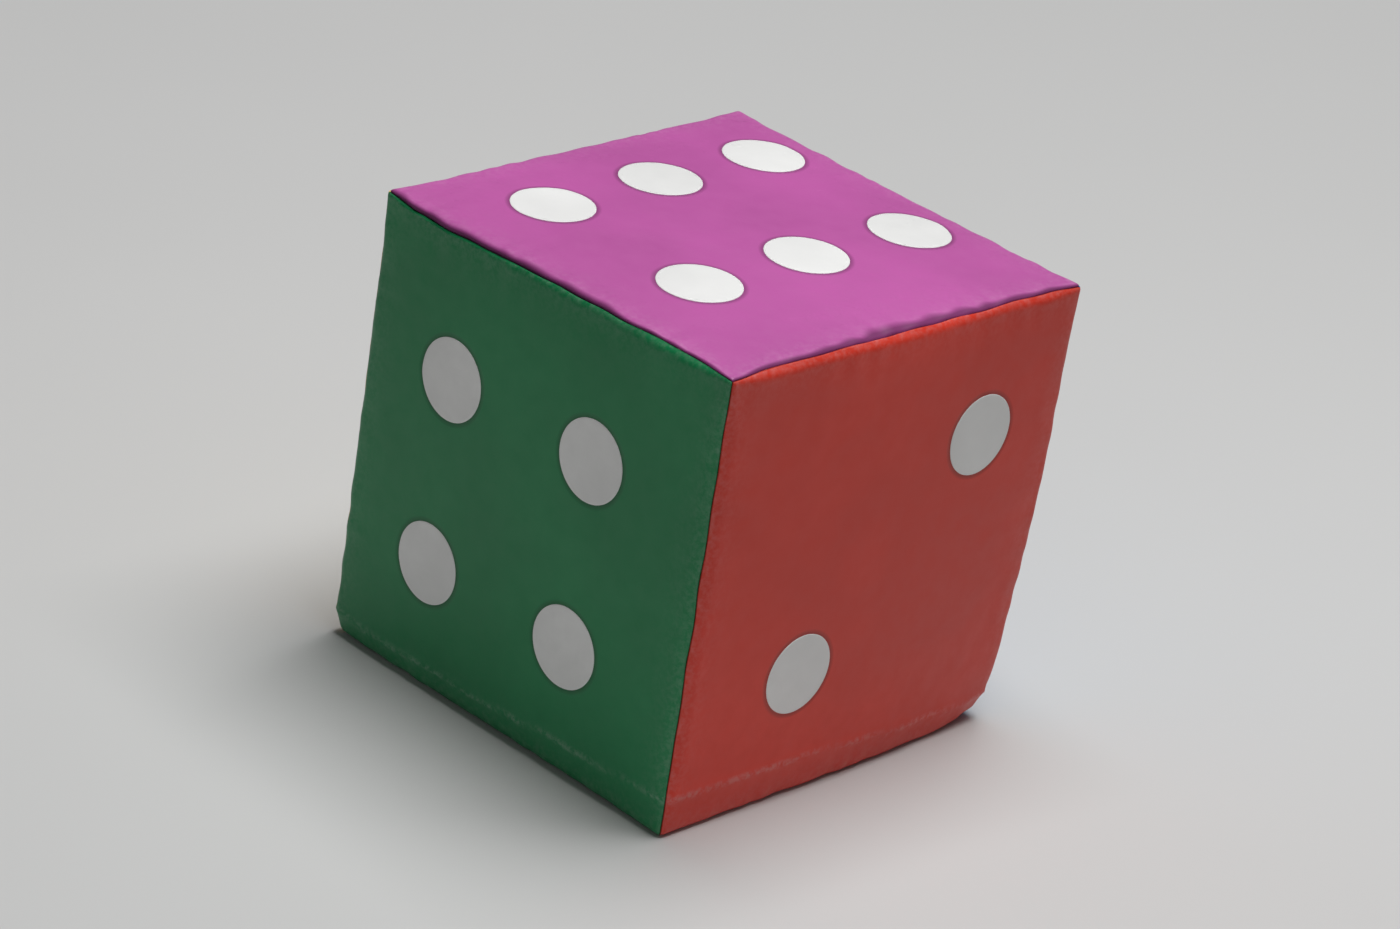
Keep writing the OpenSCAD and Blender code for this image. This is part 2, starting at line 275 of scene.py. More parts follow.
def simulate_cover():
    """Gathers the cover's seams with Blender's cloth, and returns how far each lattice point moved.

    The foam holds the middles of the faces, and the sewn edges shrink, so the cloth puckers beside the seams."""
    index, quads = cube_lattice()
    points = lattice_points(index)
    from_edge = np.sort(HALF - np.abs(points), axis=1)[:, 1]
    start = points + crowned(points)
    start = start + RNG.normal(0, START_ROUGHNESS, points.shape) * (from_edge < HELD_BAND)[:, None]
    obj = mesh_object("cover_cloth", start, quads)
    seam = obj.vertex_groups.new(name="seam")
    seam.add([int(i) for i in np.where(from_edge < TOUCHING)[0]], 1.0, "REPLACE")
    held = obj.vertex_groups.new(name="held")
    weight = smooth((from_edge - FREE_BAND) / (HELD_BAND - FREE_BAND))
    weight[on_faces(points).all(axis=1)] = 1
    for i in np.where(weight > 0)[0]:
        held.add([int(i)], float(weight[i]), "REPLACE")
    cloth = obj.modifiers.new("cloth", "CLOTH")
    settings = cloth.settings
    settings.quality = 6
    settings.mass = 0.3
    settings.tension_stiffness = 22
    settings.compression_stiffness = 22
    settings.shear_stiffness = 9
    settings.bending_stiffness = 1.0
    settings.air_damping = 2
    settings.use_pressure = True
    settings.uniform_pressure_force = 2.5
    settings.effector_weights.gravity = 0
    settings.vertex_group_mass = "held"
    settings.pin_stiffness = 4
    settings.vertex_group_shrink = "seam"
    settings.shrink_max = 0.05
    cloth.collision_settings.use_collision = False
    cloth.point_cache.frame_end = SIM_FRAMES
    for step in range(1, SIM_FRAMES + 1):
        bpy.context.scene.frame_set(step)
    result = obj.evaluated_get(bpy.context.evaluated_depsgraph_get()).to_mesh()
    moved = np.empty(len(points) * 3)
    result.vertices.foreach_get("co", moved)
    moved = moved.reshape(-1, 3) - points
    bpy.context.scene.frame_set(1)
    bpy.data.objects.remove(obj)
    return index, moved


def face_grids(index, moved):
    """The lattice's movement as one (CELLS + 1)-square grid for each face, lightly smoothed and capped."""
    neighbours = [[] for _ in index]
    for (x, y, z), i in index.items():
        for dx, dy, dz in ((2, 0, 0), (0, 2, 0), (0, 0, 2)):
            j = index.get((x + dx, y + dy, z + dz))
            if j is not None:
                neighbours[i].append(j)
                neighbours[j].append(i)
    pad = max(len(n) for n in neighbours)
    table = np.array([n + [i] * (pad - len(n)) for i, n in enumerate(neighbours)])
    for _ in range(2):
        moved = 0.5 * moved + 0.5 * moved[table].mean(axis=1)
    calm = crowned(lattice_points(index))
    moved = calm + SIM_SHARE * (moved - calm)
    length = np.linalg.norm(moved, axis=1, keepdims=True)
    moved = moved * np.minimum(1, SIM_CAP / np.maximum(length, 1e-9))
    steps = range(CELLS + 1)
    return {
        face: np.array([[moved[index[lattice_key(face, i, j)]] for j in steps] for i in steps])
        for face in FACES
    }


def sampled(grid, x, y):
    """Smooth (Catmull-Rom) samples of a face's grid."""
    def stencil(t):
        pos = np.clip((t + HALF) / (2 * HALF) * CELLS, 0, CELLS - 1e-9)
        base = np.floor(pos).astype(int)
        f = pos - base
        weights = [
            -0.5 * f + f**2 - 0.5 * f**3,
            1 - 2.5 * f**2 + 1.5 * f**3,
            0.5 * f + 2 * f**2 - 1.5 * f**3,
            -0.5 * f**2 + 0.5 * f**3,
        ]
        return [(np.clip(base + k - 1, 0, CELLS), w) for k, w in enumerate(weights)]

    total = 0
    for i, wi in stencil(x):
        for j, wj in stencil(y):
            total = total + grid[i, j] * (wi * wj)[..., None]
    return total


# ---------- skin ----------

EDGES = {}
for first in FACES:
    for second in FACES:
        if first < second and abs(FACES[first][2] @ FACES[second][2]) < 0.5:
            EDGES[frozenset((first, second))] = len(EDGES)

ZIP_EDGE = frozenset(("three", "five"))
FRONT_TOP = frozenset(("four", "six"))
RIGHT_TOP = frozenset(("two", "six"))

# The top panel's two gathered seams: how far the panel is drawn down into each, how far each strays from the
# sharp edge, the pitch of the scallops, and how strong the painted shade in the other seams' grooves is against
# these
DRAWN_WIDTH = {FRONT_TOP: 3.8 * MM, RIGHT_TOP: 5.5 * MM}
DRAWN_DEPTH = {FRONT_TOP: 1.5 * MM, RIGHT_TOP: 2.3 * MM}
FRONT_STRAY_LEFT = 3.0 * MM
FRONT_STRAY_RIGHT = -1.9 * MM
RIGHT_STRAY = 2.4 * MM
SCALLOP_PITCH = 16.5 * MM
PLAIN_SHADOW = 0.35

# Ripples that both panels share at a seam, and each panel's own gathers beside its plain and gathered seams
SHARED_RIPPLE = 0.16 * MM
GATHER_PITCH = 16 * MM
PLAIN_GATHER = 0.17 * MM
DRAWN_GATHER = 0.3 * MM

# The upright front edge: where it stands, and how much fuller than the others it is rolled
FRONT_EDGE = (HALF, -HALF)
FRONT_FULLNESS = 3.5 * MM

# Crease round the side faces near the floor: its height, its rise and fall, its ridge and the slant under it
CREASE_HEIGHT = 14 * MM
CREASE_SWAY = 3.5 * MM
RIDGE_HEIGHT = 0.6 * MM
RIDGE_WIDTH = 1.6 * MM
TUCK = 1.5 * MM

# Corners that have given way: which corner, how far it moves and how wide the dent is, in mm
SOFT_CORNERS = (
    ((1, 1, -1), (-2.4, -2.4, 3.4), 17),
    ((1, 1, -1), (-4.4, -4.4, 0), 75),
    ((-1, -1, -1), (0.5, 0.5, 0.3), 14),
)


def face_seams(face):
    """The four edges of a face: which of its axes meets it, on which side, and the neighbour there."""
    right, up, _ = FACES[face]
    found = []
    for axis, direction in (("x", right), ("y", up)):
        for sign in (1, -1):
            found.append((axis, sign, FACE_OF_NORMAL[tuple((sign * direction).astype(int))]))
    return found


def edge_direction(edge):
    """World axis that runs along an edge, as a positive unit vector."""
    first, second = sorted(edge)
    return np.abs(np.cross(FACES[first][2], FACES[second][2]))


def folded(face, x, y):
    """Points of the sharp cube for a face's own x and y, which may run on a little over an edge."""
    right, up, out = FACES[face]
    over_x = np.maximum(np.abs(x) - HALF, 0)
    over_y = np.maximum(np.abs(y) - HALF, 0)
    flat = np.clip(x, -HALF, HALF)[..., None] * right + np.clip(y, -HALF, HALF)[..., None] * up
    return flat + (HALF - over_x - over_y)[..., None] * out


def cloth_shift(points):
    """Movement from the simulation at points of the sharp cube, on whichever face each lies."""
    shift = np.zeros_like(points)
    owner = np.argmax(np.stack([points @ axes[2] for axes in FACES.values()]), axis=0)
    for number, (face, (right, up, _)) in enumerate(FACES.items()):
        mine = owner == number
        if mine.any():
            shift[mine] = sampled(GRIDS[face], points[mine] @ right, points[mine] @ up)
    return shift


def from_front_edge(points):
    """Distance from the upright front edge."""
    return np.linalg.norm(points[..., :2] - FRONT_EDGE, axis=-1)


def roll_radius(points):
    """Radius of the rolled edges: tight at the top corners, and full along the upright front edge."""
    low = smooth((-points[..., 2] / HALF - 0.5) / 0.5)
    from_corner = np.linalg.norm(HALF - np.abs(points), axis=-1)
    tight = smooth(1 - from_corner / (24 * MM)) * (1 - low)
    radius = EDGE_RADIUS + (BOTTOM_RADIUS - EDGE_RADIUS) * low
    radius = radius + (CORNER_RADIUS - EDGE_RADIUS) * tight
    from_end = HALF - np.abs(points[..., 2])
    fullness = FRONT_FULLNESS * bump(from_front_edge(points), 25 * MM)
    return radius + fullness * smooth((from_end - 6 * MM) / (30 * MM))


def rolled(points):
    """Sharp-cube points moved onto rolled edges, and the outward direction there.

    Near the floor the roll carries on until the seam is underneath."""
    radius = roll_radius(points)
    core = np.clip(points, (radius - HALF)[..., None], (HALF - radius)[..., None])
    out = points - core
    height = points[..., 2] + HALF
    out[..., :2] *= (1 - 0.85 * smooth(1 - height / radius))[..., None]
    out = unit(out)
    return core + radius[..., None] * out, out


def seam_shift(edge, along):
    """How far a seam strays from the sharp edge, towards the first of its two faces by name."""
    if edge == ZIP_EDGE:
        return np.zeros_like(along)
    fade = smooth((HALF - np.abs(along)) / (20 * MM))
    shift = 0.35 * MM * wave(300 + EDGES[edge], along, 22 * MM, 70 * MM)
    if edge == FRONT_TOP:
        shift = shift + FRONT_STRAY_LEFT * smooth((-5 * MM - along) / (50 * MM))
        shift = shift + FRONT_STRAY_RIGHT * smooth((along - 5 * MM) / (60 * MM))
    if edge == RIGHT_TOP:
        shift = shift + RIGHT_STRAY
    return shift * fade


def scallop(along):
    """Scallops along the right top seam, 0 to 1."""
    wander = 1.3 * wave(17, along, 45 * MM, 90 * MM)
    return 0.5 + 0.5 * np.cos(2 * np.pi * along / SCALLOP_PITCH + wander)


def top_draw(edge, along):
    """How far the top panel is drawn down into its front and right seams, about 0 to 1."""
    if edge == FRONT_TOP:
        return smooth((50 * MM - along) / (30 * MM)) * (0.75 + 0.25 * wave(18, along, 14 * MM, 34 * MM))
    if edge == RIGHT_TOP:
        gathers = bump(along - 8 * MM, 55 * MM) * (0.5 + 0.5 * scallop(along))
        return gathers + 0.6 * bump(along + 12 * MM, 7 * MM)
    return np.zeros_like(along)


def groove_depth(edge, along):
    """Depth of a seam's groove, the same from both of its faces."""
    depth = SEAM_GROOVE * (1 + 0.12 * wave(400 + EDGES[edge], along, 10 * MM, 30 * MM))
    return depth + DRAWN_DEPTH.get(edge, 0) * top_draw(edge, along)


def lip_width(edge, face, along):
    """How wide a panel's edge is rolled down into a seam's groove."""
    width = SEAM_GROOVE * (1.15 + 0.15 * wave(430 + 2 * EDGES[edge], along, 15 * MM, 40 * MM))
    if face == "six" and edge in DRAWN_WIDTH:
        width = width + DRAWN_WIDTH[edge] * (0.2 + top_draw(edge, along))
    return width


def lip_drop(distance, width, depth):
    """How far a rolled lip is below its panel, for a distance from its seam."""
    inside = np.clip(1 - distance / width, 0, 1)
    return depth * (1 - np.sqrt(1 - inside**2))


def pucker(edge, face, along, distance):
    """Ripples beside a seam: a part that both panels share at the seam, and each panel's own gathers."""
    number = EDGES[edge]
    fade = smooth((HALF - np.abs(along)) / (16 * MM))
    shared = SHARED_RIPPLE * wave(number, along, 14 * MM, 30 * MM) * np.exp(-distance / (6 * MM))
    seed = 100 + 10 * number + sorted(edge).index(face)
    strength = 0.3 + 0.7 * smooth(0.5 + 0.8 * wave(seed, along, 40 * MM, 110 * MM))
    gather = np.cos(2 * np.pi * along / GATHER_PITCH + 2.4 * wave(seed + 500, along, 40 * MM, 90 * MM))
    reach = distance / (4.5 * MM)
    size = DRAWN_GATHER if edge in DRAWN_WIDTH else PLAIN_GATHER
    own = size * strength * gather * reach * np.exp(1 - reach)
    return (shared + own) * fade


def crease_height(points):
    """Height above the floor of the crease round the side faces, lower towards the back."""
    round_axis = np.arctan2(points[..., 1], points[..., 0])
    sway = 0.4 * MM * wave(71, round_axis * HALF, 40 * MM, 90 * MM)
    return CREASE_HEIGHT + CREASE_SWAY * np.sin(round_axis * 2 + 2.6) + sway


def bottom_tuck(points, out):
    """The side faces' crease near the floor; under it the cover slants in to where it rests."""
    height = points[..., 2] + HALF
    crease = crease_height(points)
    ridge = RIDGE_HEIGHT * bump(height - crease, RIDGE_WIDTH) * smooth(height / (6 * MM))
    share = smooth((np.abs(points[..., :2]) - (HALF - 28 * MM)) / (28 * MM)) * np.sign(points[..., :2])
    slant = TUCK * smooth((crease - height) / crease) * (1 - 0.8 * bump(from_front_edge(points), 30 * MM))
    move = ridge[..., None] * out
    move[..., :2] -= slant[..., None] * share
    return move


def soft_corners(points):
    """The right back corner at the floor has collapsed, and the edge above it leans in a little."""
    move = np.zeros_like(points)
    for place, push, width in SOFT_CORNERS:
        distance = np.linalg.norm(points - np.array(place) * HALF, axis=-1)
        move += bump(distance, width * MM)[..., None] * np.array(push) * MM
    return move


def zip_share(z, past_end, length):
    """1 along the zip opening, easing to 0 over a length that ends some way past each end."""
    from_end = np.minimum(z - ZIP_LOW, ZIP_HIGH - z)
    return smooth((from_end + past_end) / length)


def zip_gap_share(z):
    """How open the gap between the hems is: 1 along the opening, 0 where the seam is sewn."""
    return zip_share(z, 0.1 * MM, 2.6 * MM)


def zip_flat_share(z):
    """How flat the edge is pressed: 1 along the opening, 0 near the corners of the dice."""
    return zip_share(z, 9 * MM, 9 * MM)


def layer_place(path, depth):
    """Across and out positions at a path length along the flat, the bend and the side face, at a depth."""
    bend = HEM_BEND - depth
    start = FLAT_HALF - HEM_BEND * math.tan(math.pi / 8)
    turn = np.clip((path - start) / bend, 0, math.pi / 4)
    straight = np.maximum(path - start - bend * math.pi / 4, 0) / math.sqrt(2)
    across = np.minimum(path, start) + bend * np.sin(turn) + straight
    return across, -depth - bend * (1 - np.cos(turn)) - straight


def hem_place(distance, gap):
    """Place of the hem beside the zip, across and out, for a distance from the sharp edge on the side face.

    gap is 1 where the hems are apart and 0 where they meet."""
    span = 20 * MM
    t = np.clip(distance / span, 0, 1)
    tangent = HEM_BEND * math.tan(math.pi / 8)
    end = FLAT_HALF - tangent + HEM_BEND * math.pi / 4 + span - ZIP_FLAT - tangent
    fold = HEM_EDGE * gap
    reach = end - fold
    path = 0.75 * span * (t**3 - 2 * t**2 + t) + reach * (3 * t**2 - 2 * t**3) + span * (t**3 - t**2)
    path = np.where(distance > span, distance - span + reach, path)
    across, out = layer_place(path + fold, 0)
    return across, out - lip_drop(path, HEM_LIP, HEM_LIP)


def zip_point(across, out, z):
    """Cube-centred point from the zip's own across and out positions."""
    across, out, z = np.broadcast_arrays(across, out, z)
    return ZIP_CENTRE + across[..., None] * ZIP_ACROSS + out[..., None] * ZIP_OUT + z[..., None] * UP


def beside_zip(face, sharp, place):
    """Bends the edge of panels three and five onto the flat that the zip lies in."""
    side = 1 if face == "three" else -1
    from_edge = sharp[..., 0] + HALF if face == "three" else HALF - sharp[..., 1]
    across, out = hem_place(from_edge, zip_gap_share(sharp[..., 2]))
    hem = zip_point(side * across, out, sharp[..., 2])
    share = zip_flat_share(sharp[..., 2]) * smooth(1 - (from_edge - 8 * MM) / (20 * MM))
    return place + share[..., None] * (hem - place)


def seams_from(face, x, y):
    """For each seam of a face: its axis and side, its edge, and the distances from it and along it."""
    flat = folded(face, x, y)
    for axis, sign, neighbour in face_seams(face):
        edge = frozenset((face, neighbour))
        yield axis, sign, edge, HALF - sign * (x if axis == "x" else y), flat @ edge_direction(edge)


def wear_and_groove_shade_at(face, x, y):
    """Shares for the vinyl's looks: how rubbed it is, and how much painted shade it gets down in a seam's
    groove.
    """
    rubbed = np.zeros(x.shape)
    groove_shade = np.zeros(x.shape)
    for _, _, edge, distance, along in seams_from(face, x, y):
        rubbed = np.maximum(rubbed, np.exp(-distance / (6 * MM)))
        shadow = 1 if edge in DRAWN_WIDTH else PLAIN_SHADOW
        # Painted shade down in each seam's groove, strongest at the top panel's two gathered seams
        groove_shade = np.maximum(groove_shade, shadow * (1 - distance / lip_width(edge, face, along)))
    # The side faces are also paler along a thin line at the crease near the floor
    if FACES[face][2][2] == 0:
        sharp = folded(face, x, y)
        over_crease = sharp[..., 2] + HALF - crease_height(sharp)
        rubbed = np.maximum(rubbed, 2.0 * bump(over_crease, 0.9 * MM))
    return rubbed, np.clip(groove_shade, 0, 1)


def skin(face, x, y):
    """Outer surface of a panel at its own x and y, in cube-centred metres, with the outward direction.

    x and y run from -HALF to HALF between the panel's seams."""
    x, y = np.broadcast_arrays(np.asarray(x, float), np.asarray(y, float))
    sheet_x, sheet_y = x.copy(), y.copy()
    rise = np.zeros(x.shape)
    drop = np.zeros(x.shape)
    for axis, sign, edge, distance, along in seams_from(face, x, y):
        away = -1 if sorted(edge)[0] == face else 1
        stray = sign * away * seam_shift(edge, along) * smooth(1 - distance / (30 * MM))
        if axis == "x":
            sheet_x = sheet_x + stray
        else:
            sheet_y = sheet_y + stray
        rise = rise + pucker(edge, face, along, distance)
        drop = np.maximum(drop, lip_drop(distance, lip_width(edge, face, along), groove_depth(edge, along)))
    sharp = folded(face, sheet_x, sheet_y)
    place, out = rolled(sharp)
    place = place + cloth_shift(sharp) + (rise - drop)[..., None] * out
    place = place + bottom_tuck(sharp, out) + soft_corners(sharp)
    if face in ("three", "five"):
        place = beside_zip(face, sharp, place)
    place[..., 2] = np.maximum(place[..., 2], -HALF)
    return place, out


def surface_frame(face, x, y):
    """Skin point and true normal at a face's x and y."""
    step = 0.3 * MM
    here = skin(face, x, y)[0]
    dx = skin(face, x + step, y)[0] - here
    dy = skin(face, x, y + step)[0] - here
    return here, unit(np.cross(dx, dy))


def stand(points):
    """Cube-centred points in the object's own frame, whose origin is on the floor."""
    return np.asarray(points) + (0, 0, HALF)


# ---------- panels ----------

def panel_steps():
    """Positions across a panel: close together over the seam lips and rolled edges, even in the middle."""
    lip = [SEAM_GROOVE * (1 - math.cos(math.radians(15 * k))) for k in range(7)]
    roll = [v * MM for v in (1.3, 1.8, 2.4, 3.1, 3.9, 4.8, 5.8, 6.9, 8.1, 9.5, 11, 12.8)]
    near = np.array(lip + roll)
    middle = np.linspace(-HALF + near[-1], HALF - near[-1], 78)
    return np.concatenate([-HALF + near[:-1], middle, HALF - near[-2::-1]])


def boundary_loop(n):
    """Indices (i, j) round the edge of an n-square grid, once, anticlockwise."""
    loop = [(i, 0) for i in range(n - 1)]
    loop += [(n - 1, j) for j in range(n - 1)]
    loop += [(i, n - 1) for i in range(n - 1, 0, -1)]
    loop += [(0, j) for j in range(n - 1, 0, -1)]
    return loop


def allowance_rings(face, place, out):
    """Rings of points that carry a panel's edge inwards: a seam allowance, or the hem turned in at the zip.

    aside points to the panel's own side of a seam."""
    normal = FACES[face][2]
    aside = normal - (out @ normal)[:, None] * out
    aside = aside / np.maximum(np.linalg.norm(aside, axis=1, keepdims=True), 1e-6)
    side = 1 if face == "three" else -1
    gap = zip_gap_share(place[:, 2])
    at_zip = np.zeros(len(place))
    if face in ("three", "five"):
        from_zip = np.linalg.norm((place - ZIP_CENTRE)[:, :2], axis=1)
        at_zip = gap * (from_zip < 12 * MM)
    hem = ((0.2, -1.15), (0.7, -1.4), (1.9, -1.4), (3.4, -1.4))
    rings = []
    for depth, (under, down) in zip((0.8, 1.8, 3.2, 4.6), hem):
        plain = place - out * depth * MM + aside * (0.06 + 0.02 * depth) * MM
        turned = zip_point(side * (HEM_EDGE * gap + under * MM), down * MM, place[:, 2])
        rings.append(plain + at_zip[:, None] * (turned - plain))
    return rings


def make_panel(face, material, slot):
    """One vinyl panel with its seam allowance turned in, as a closed sheet of the fabric's thickness."""
    steps = panel_steps()
    n = len(steps)
    grid_x, grid_y = np.meshgrid(steps, steps, indexing="ij")
    place, out = skin(face, grid_x, grid_y)
    faces = grid_quads(n, n)
    loop = boundary_loop(n)
    rows, columns = np.array(loop).T
    rings = allowance_rings(face, place[rows, columns], out[rows, columns])
    previous = [i * n + j for i, j in loop]
    for number in range(len(rings)):
        ring = [n * n + number * len(loop) + k for k in range(len(loop))]
        for k in range(len(loop)):
            m = (k + 1) % len(loop)
            faces.append((previous[m], previous[k], ring[k], ring[m]))
        previous = ring
    verts = stand(np.concatenate([place.reshape(-1, 3)] + rings))
    obj = mesh_object("cover_panel_" + face, verts, faces)
    # Per point: the rubbed share and the share of painted shade in the seam grooves, for the material
    for name, share in zip(("rubbed", "groove_shade"), wear_and_groove_shade_at(face, grid_x, grid_y)):
        values = np.ones(len(verts))
        values[: n * n] = share.reshape(-1)
        obj.data.attributes.new(name, "FLOAT", "POINT").data.foreach_set("value", values)
    thicken(obj, VINYL)
    return piece(obj, material, "panel_" + face, slot)


# ---------- pips ----------

def pip_centres(face):
    """Pip centres in the face's own frame, from the CAD discs: points a step apart are on one disc."""
    right, up, _ = FACES[face]
    step = 5 * MM
    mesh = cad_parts["pips_" + face].data
    points = np.empty(len(mesh.vertices) * 3)
    mesh.vertices.foreach_get("co", points)
    points = points.reshape(-1, 3) - (0, 0, HALF)
    left = np.stack([points @ right, points @ up], axis=1)
    centres = []
    while len(left):
        disc = np.zeros(len(left), bool)
        disc[0] = True
        size = 0
        while disc.sum() != size:
            size = disc.sum()
            disc = (np.linalg.norm(left[:, None] - left[disc][None], axis=2) < step).any(axis=1)
        centres.append((left[disc].min(axis=0) + left[disc].max(axis=0)) / 2)
        left = left[~disc]
    return centres


def make_pips(face, material):
    """White discs welded to a panel: each follows the panel's surface, with a rounded rim.

    Each ring of points has its share of the disc's radius and its height over the panel in mm."""
    around = 96
    rings = ((0.25, 0.26), (0.5, 0.26), (0.75, 0.26), (0.9, 0.26), (0.965, 0.255), (0.985, 0.22),
             (0.997, 0.15), (1.0, 0.05), (1.0, -0.2), (0.6, -0.2))
    angle = np.arange(around) * 2 * math.pi / around
    parts = []
    for cx, cy in pip_centres(face):
        middle, normal = surface_frame(face, np.array([cx]), np.array([cy]))
        verts = [middle + 0.26 * MM * normal]
        for share, height in rings:
            x = cx + share * PIP_RADIUS * np.cos(angle)
            y = cy + share * PIP_RADIUS * np.sin(angle)
            here, out = surface_frame(face, x, y)
            verts.append(here + height * MM * out)
        verts.append(middle - 0.2 * MM * normal)
        faces = []
        last = 1 + (len(rings) - 1) * around
        for k in range(around):
            m = (k + 1) % around
            faces.append((0, 1 + k, 1 + m))
            for r in range(len(rings) - 1):
                a = 1 + r * around
                faces.append((a + k, a + around + k, a + around + m, a + m))
            faces.append((last + m, last + k, last + around))
        parts.append((np.concatenate(verts), faces))
    verts, faces = joined(parts)
    obj = mesh_object("pips_group_" + face, stand(verts), faces)
    return piece(obj, material, "pips_" + face, "vinyl_white")


# ---------- foam ----------

def make_foam(material):
    """Foam block: its edges are crushed round by the seam allowances, more so behind the zip."""
    cells = 40
    crush = 20 * MM
    zip_crush = 27 * MM
    half = HALF - 1.5 * MM
    steps = np.linspace(-half, half, cells + 1)
    index = {}
    verts = []

    def at(face, i, j):
        right, up, out = FACES[face]
        point = right * steps[i] + up * steps[j] + out * half
        key = tuple(np.round(point / MM, 3))
        if key not in index:
            index[key] = len(verts)
            verts.append(point)
        return index[key]

    faces = cube_quads(cells, at)
    points = np.array(verts)
    behind_zip = smooth(1 - np.linalg.norm((points - ZIP_CENTRE)[:, :2], axis=1) / (60 * MM))
    radius = (crush + (zip_crush - crush) * behind_zip)[:, None]
    core = np.clip(points, radius - half, half - radius)
    out = unit(points - core)
    sharp = points * HALF / half
    place = core + radius * out + 0.8 * crowned(sharp) + 1.1 * soft_corners(sharp)
    place[:, 2] = np.maximum(place[:, 2], -HALF + 1.2 * MM)
    obj = mesh_object("foam_block", stand(place), faces)
    return piece(obj, material, "foam_core", "foam")


# ---------- threads ----------

def seam_line(edge, along):
    """Points at the bottom of a seam's groove, and the outward direction."""
    face, neighbour = sorted(edge)
    right, up, _ = FACES[face]
    direction = edge_direction(edge)
    for axis, sign, other in face_seams(face):
        if other == neighbour:
            at_seam = np.full_like(along, sign * HALF)
            if axis == "x":
                return skin(face, at_seam, along * (up @ direction))
            return skin(face, along * (right @ direction), at_seam)


def thread_piece(name, parts, material, node):
    """Runs of thread as one piece."""
    verts, faces = joined(parts)
    return piece(mesh_object(name, stand(verts), faces), material, node, "thread")


def make_seam_thread(material):
    """Short stitches low in the seams' grooves."""
    pitch = 4.2 * MM
    length = 3.3 * MM
    start = 7 * MM - HALF
    arch = np.array((-0.5, -0.05, 0.1, 0.14, 0.1, -0.05, -0.5)) * MM
    parts = []
    for edge in EDGES:
        for place in np.arange(start, HALF - 7 * MM - length, pitch):
            if edge == ZIP_EDGE and ZIP_LOW - 3 * MM < place + length and place < ZIP_HIGH + 3 * MM:
                continue
            points, out = seam_line(edge, np.linspace(place, place + length, len(arch)))
            parts.append(bar(points + arch[:, None] * out, 0.22 * MM, out.mean(axis=0), sides=6))
    return thread_piece("seam_stitches", parts, material, "seam_thread")


def hem_height(side, across, z):
    """Out position of the cover beside the zip, at across positions on one side; the gap is bridged."""
    face = "three" if side > 0 else "five"
    from_edge = np.linspace(0, 18, 73) * MM
    heights = []
    for at, level in zip(np.atleast_1d(across), np.atleast_1d(z)):
        face_x = HALF - from_edge if face == "three" else from_edge - HALF
        place = skin(face, face_x, np.full_like(face_x, level))[0] - ZIP_CENTRE
        heights.append(np.interp(at, side * (place @ ZIP_ACROSS), place @ ZIP_OUT))
    return np.array(heights)


def make_topstitch(material):
    """Two rows of stitches that hold the hems to the zip tapes."""
    pitch = 3.6 * MM
    length = 3.0 * MM
    across = HEM_EDGE + 1.4 * MM
    arch = np.array((-0.35, 0.06, 0.16, 0.18, 0.16, 0.06, -0.35)) * MM
    parts = []
    for side in (-1, 1):
        for start in np.arange(ZIP_LOW + 3.4 * MM, ZIP_HIGH - 3.4 * MM - length, pitch):
            z = np.linspace(start, start + length, len(arch))
            out = hem_height(side, np.full(2, across), z[[0, -1]])
            level = np.interp(z, z[[0, -1]], out) + arch
            parts.append(bar(zip_point(side * across, level, z), THREAD, ZIP_ACROSS, sides=8))
    return thread_piece("hem_topstitch", parts, material, "zip_topstitch")


def make_bar_tacks(material):
    """A dense zigzag across each end of the zip."""
    half_width = HEM_EDGE + 1.6 * MM
    passes = 9
    parts = []
    for end, inward in ((ZIP_LOW, 1), (ZIP_HIGH, -1)):
        across = np.linspace(-half_width, half_width, 13)
        middle = np.full_like(across, end + inward * 1.5 * MM)
        height = np.where(
            across > 0,
            hem_height(1, np.abs(across), middle),
            hem_height(-1, np.abs(across), middle),
        )
        height = np.maximum(height, height[0] - 0.3 * MM) + 0.2 * MM
        path = []
        for number in range(passes):
            order = slice(None) if number % 2 == 0 else slice(None, None, -1)
            rise = end + inward * (0.6 + 0.22 * (number + np.linspace(0, 1, len(across)))) * MM
            path.append(zip_point(across[order], height[order], rise))
        parts.append(bar(np.concatenate(path), 0.18 * MM, ZIP_OUT, sides=6))
    return thread_piece("zip_end_tacks", parts, material, "zip_bar_tacks")


# ---------- zip ----------

# Slider's wedge: where it starts to part the rows, from the slider's middle, over what length and how far.
# Then a place on each side for an opened tape and row, and in how many steps each row is split
WEDGE_LOW = -1.4 * MM
WEDGE_LENGTH = 3 * MM
WEDGE_PARTING = 1.25 * MM
PARTED_ANCHOR = 14 * MM
COIL_SECTIONS = 3


def parts_with_slider(obj, side):
    """Gives one side of the zip its own copy of its mesh."""
    anchor = stand(zip_point(side * PARTED_ANCHOR, 0, 0))
    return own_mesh(obj)


def make_tape(side, material, node):
    """Woven tape: a thin sheet from beside the coil to under the side face, with a corded edge."""
    path = np.concatenate([np.linspace(1.1, 4.5, 12), np.linspace(5.2, 11.5, 10)]) * MM
    z = np.linspace(ZIP_LOW - 4.5 * MM, ZIP_HIGH + 4.5 * MM, 180)
    cord = 0.1 * MM * bump(path - 3.1 * MM, 0.35 * MM)
    across, out = layer_place(path, -TAPE_TOP)
    grid = zip_point(side * across[:, None], (out + cord)[:, None], z[None, :])
    rows, columns = grid.shape[:2]
    faces = grid_quads(rows, columns)
    if side > 0:
        faces = [face[::-1] for face in faces]
    obj = mesh_object(node.replace("zip_", "woven_"), stand(grid.reshape(-1, 3)), faces)
    thicken(obj, TAPE_THICK)
    return parts_with_slider(piece(obj, material, node, "zip_tape"), side)


